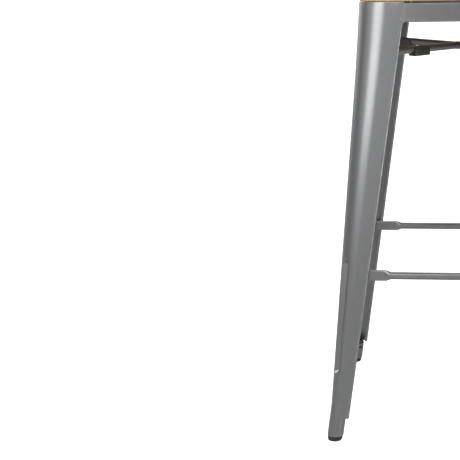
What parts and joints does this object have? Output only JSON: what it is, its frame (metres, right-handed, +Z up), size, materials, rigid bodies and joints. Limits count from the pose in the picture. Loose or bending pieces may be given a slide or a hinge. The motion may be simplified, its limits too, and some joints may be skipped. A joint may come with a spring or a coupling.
{
  "type": "bar stool",
  "caption": "Backless stacking bar stool with folded sheet-steel legs, tube footrest, diagonal cross brace and a square wood seat pad.",
  "frame": {"origin": "On the floor, under the middle of the seat", "axes": "+Z up, -Y the front, +X the right of someone facing the front from behind the stool"},
  "size_m": [0.4376, 0.4376, 0.765],
  "materials": {
    "painted_steel": "satin gunmetal grey with a clear coat",
    "seat_wood": "light wood staves, oiled",
    "foot_rubber": "matte black rubber",
    "bumper_plastic": "matte black plastic",
    "screw_steel": "zinc plated"
  },
  "bodies": {
    "root": {"leg_front_left": "painted_steel", "leg_front_right": "painted_steel", "leg_rear_left": "painted_steel", "leg_rear_right": "painted_steel", "rail_front": "painted_steel", "rail_rear": "painted_steel", "rail_left": "painted_steel", "rail_right": "painted_steel", "footrest_front": "painted_steel", "footrest_rear": "painted_steel", "footrest_left": "painted_steel", "footrest_right": "painted_steel", "brace_long": "painted_steel", "brace_front_left": "painted_steel", "brace_rear_right": "painted_steel", "bumper_front_left": "bumper_plastic", "bumper_front_right": "bumper_plastic", "bumper_rear_left": "bumper_plastic", "bumper_rear_right": "bumper_plastic", "foot_front_left": "foot_rubber", "foot_front_right": "foot_rubber", "foot_rear_left": "foot_rubber", "foot_rear_right": "foot_rubber", "seat_stave_1": "seat_wood", "seat_stave_2": "seat_wood", "seat_stave_3": "seat_wood", "seat_stave_4": "seat_wood", "seat_stave_5": "seat_wood", "seat_screws": "screw_steel"}
  },
  "joints": []
}
